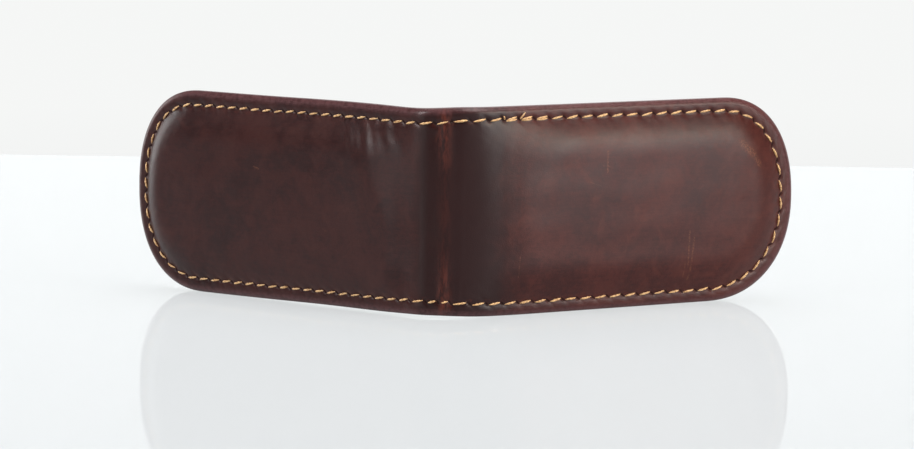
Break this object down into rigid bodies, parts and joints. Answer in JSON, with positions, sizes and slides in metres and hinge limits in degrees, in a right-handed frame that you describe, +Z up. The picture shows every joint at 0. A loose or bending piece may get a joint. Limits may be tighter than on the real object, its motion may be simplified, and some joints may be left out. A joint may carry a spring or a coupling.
{
  "type": "magnetic money clip",
  "caption": "Padded leather money clip: two stitched panels with hidden magnets fold together over banknotes.",
  "frame": {"origin": "middle of the clip's footprint, on the surface that it stands on", "axes": "+Z up along the fold; -Y towards the finished outer side of the fold; the clip opens towards +Y; X from the left panel to the right panel"},
  "size_m": [0.154, 0.0552, 0.047],
  "materials": {
    "outer_leather": "oiled pull-up leather, dark red-brown, fine grain, soft sheen",
    "lining_leather": "the same oiled leather, slightly less polished",
    "thread": "waxed twisted thread, golden tan",
    "foam": "dense black padding",
    "board": "grey-brown pressed fibre board",
    "magnet": "nickel plated"
  },
  "bodies": {
    "spine": {"outer_spine": "outer_leather", "lining_spine": "lining_leather", "spine_thread_top": "thread", "spine_thread_bottom": "thread"},
    "left_panel": {"outer_leather_left": "outer_leather", "lining_leather_left": "lining_leather", "foam_pad_left": "foam", "magnet_board_left": "board", "magnet_left_1": "magnet", "magnet_left_2": "magnet", "outer_thread_left": "thread", "lining_thread_left": "thread"},
    "right_panel": {"outer_leather_right": "outer_leather", "lining_leather_right": "lining_leather", "foam_pad_right": "foam", "magnet_board_right": "board", "magnet_right_1": "magnet", "magnet_right_2": "magnet", "outer_thread_right": "thread", "lining_thread_right": "thread"}
  },
  "joints": [
    {"name": "fold_left", "type": "hinge", "parent": "spine", "child": "left_panel", "pos_m": [-0.0031, -0.02567, 0.0235], "axis": [0, 0, -1], "range_deg": [-35.5, 54.5]},
    {"name": "fold_right", "type": "hinge", "parent": "spine", "child": "right_panel", "pos_m": [0.0031, -0.02567, 0.0235], "axis": [0, 0, 1], "range_deg": [-35.5, 54.5]}
  ],
  "couplings": [
    {"joint": "fold_left", "follows": "fold_right", "ratio": 1}
  ]
}
